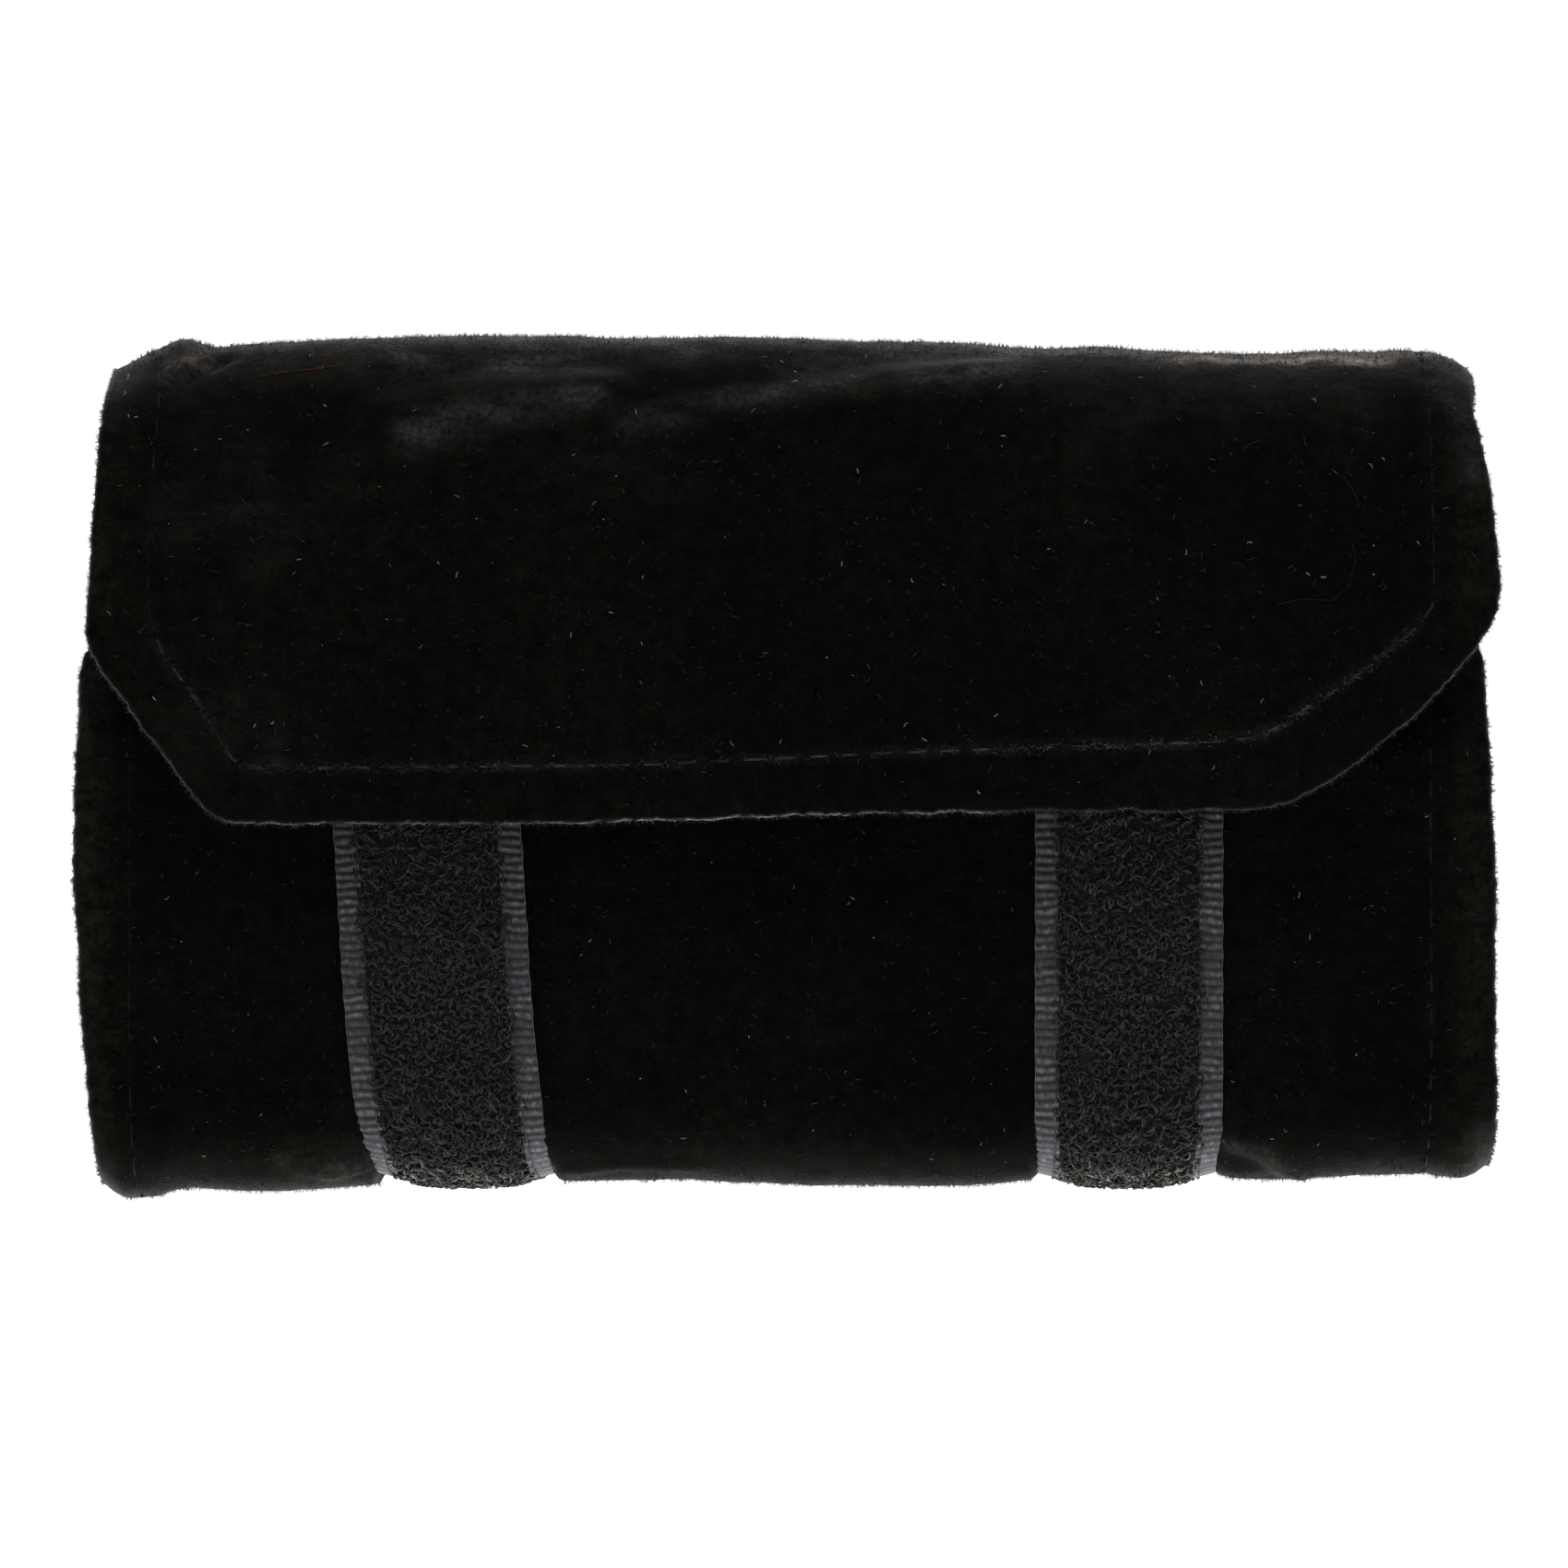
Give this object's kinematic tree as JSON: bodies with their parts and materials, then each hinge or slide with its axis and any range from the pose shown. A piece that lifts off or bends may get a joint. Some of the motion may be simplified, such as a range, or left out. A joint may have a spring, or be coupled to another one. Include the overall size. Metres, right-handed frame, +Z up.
{
  "type": "jewelry roll",
  "caption": "Padded black velvet jewelry roll, closed by a corner-cut flap on hook-and-loop tapes; it unrolls to zip pockets and a ring bar.",
  "frame": {"origin": "centre of the closed roll's outline, on the surface that its back lies on", "axes": "+X to the right along the folds, +Y to the top fold, +Z up out of the front"},
  "size_m": [0.186, 0.1124, 0.036],
  "materials": {
    "velvet": "black pile velvet",
    "padding": "polyester wadding",
    "lining": "black satin",
    "ring_velvet": "black velvet",
    "loop_tape": "charcoal loop pile",
    "hook_tape": "moulded hooks",
    "zip_tape": "woven tape",
    "zip_coil": "nylon coil",
    "metal": "satin nickel"
  },
  "bodies": {
    "back": {"back_velvet": "velvet", "back_padding": "padding", "back_lining": "lining", "upper_pocket_sheet": "lining", "upper_pocket_binding": "lining", "upper_zip_tape_top": "zip_tape", "upper_zip_coil_top": "zip_coil", "upper_zip_tape_bottom": "zip_tape", "upper_zip_coil_bottom": "zip_coil", "upper_zip_stop_left": "metal", "upper_zip_stop_right": "metal", "lower_pocket_sheet": "lining", "lower_pocket_binding": "lining", "lower_zip_tape_top": "zip_tape", "lower_zip_coil_top": "zip_coil", "lower_zip_tape_bottom": "zip_tape", "lower_zip_coil_bottom": "zip_coil", "lower_zip_stop_left": "metal", "lower_zip_stop_right": "metal", "ring_bed": "lining", "ring_bar_anchor": "ring_velvet", "snap_stud": "metal"},
    "top_spine": {"top_spine_velvet": "velvet", "top_spine_padding": "padding", "top_spine_lining": "lining"},
    "flap": {"flap_velvet": "velvet", "flap_padding": "padding", "flap_lining": "lining", "flap_hook_tape_left": "hook_tape", "flap_hook_tape_right": "hook_tape"},
    "bottom_spine": {"bottom_spine_velvet": "velvet", "bottom_spine_padding": "padding", "bottom_spine_lining": "lining", "bottom_spine_loop_tape_left": "loop_tape", "bottom_spine_loop_tape_right": "loop_tape"},
    "front": {"front_velvet": "velvet", "front_padding": "padding", "front_lining": "lining", "front_loop_tape_left": "loop_tape", "front_loop_tape_right": "loop_tape"},
    "upper_slider": {"upper_zip_slider": "metal"},
    "upper_pull": {"upper_zip_pull": "metal"},
    "lower_slider": {"lower_zip_slider": "metal"},
    "lower_pull": {"lower_zip_pull": "metal"},
    "ring_bar": {"ring_bar_cover": "ring_velvet", "ring_bar_filling": "padding", "ring_bar_tab": "ring_velvet", "snap_socket": "metal"}
  },
  "joints": [
    {"name": "top_spine_fold", "type": "hinge", "parent": "back", "child": "top_spine", "pos_m": [0, 0.05405, 0.00215], "axis": [-1, 0, 0], "range_deg": [0, 90]},
    {"name": "flap_fold", "type": "hinge", "parent": "top_spine", "child": "flap", "pos_m": [0, 0.0537, 0.0335], "axis": [-1, 0, 0], "range_deg": [0, 90]},
    {"name": "bottom_spine_fold", "type": "hinge", "parent": "back", "child": "bottom_spine", "pos_m": [0, -0.0527, 0.0018], "axis": [1, 0, 0], "range_deg": [0, 90]},
    {"name": "front_fold", "type": "hinge", "parent": "bottom_spine", "child": "front", "pos_m": [0, -0.0525, 0.0267], "axis": [1, 0, 0], "range_deg": [0, 90]},
    {"name": "upper_zip_run", "type": "slide", "parent": "back", "child": "upper_slider", "axis": [-1, 0, 0], "range_m": [0, 0.1414]},
    {"name": "upper_pull_swing", "type": "hinge", "parent": "upper_slider", "child": "upper_pull", "pos_m": [0.0707, 0.02005, 0.01055], "axis": [0, -1, 0], "range_deg": [0, 180]},
    {"name": "lower_zip_run", "type": "slide", "parent": "back", "child": "lower_slider", "axis": [-1, 0, 0], "range_m": [0, 0.1414]},
    {"name": "lower_pull_swing", "type": "hinge", "parent": "lower_slider", "child": "lower_pull", "pos_m": [0.0707, -0.01395, 0.01055], "axis": [0, -1, 0], "range_deg": [0, 180]},
    {"name": "ring_bar_swing", "type": "hinge", "parent": "back", "child": "ring_bar", "pos_m": [-0.0635, 0.0362, 0.0141], "axis": [0, 0, -1], "range_deg": [0, 40]}
  ],
  "couplings": [
    {"joint": "top_spine_fold", "follows": "flap_fold", "ratio": 1},
    {"joint": "bottom_spine_fold", "follows": "flap_fold", "ratio": 1},
    {"joint": "front_fold", "follows": "flap_fold", "ratio": 1}
  ]
}
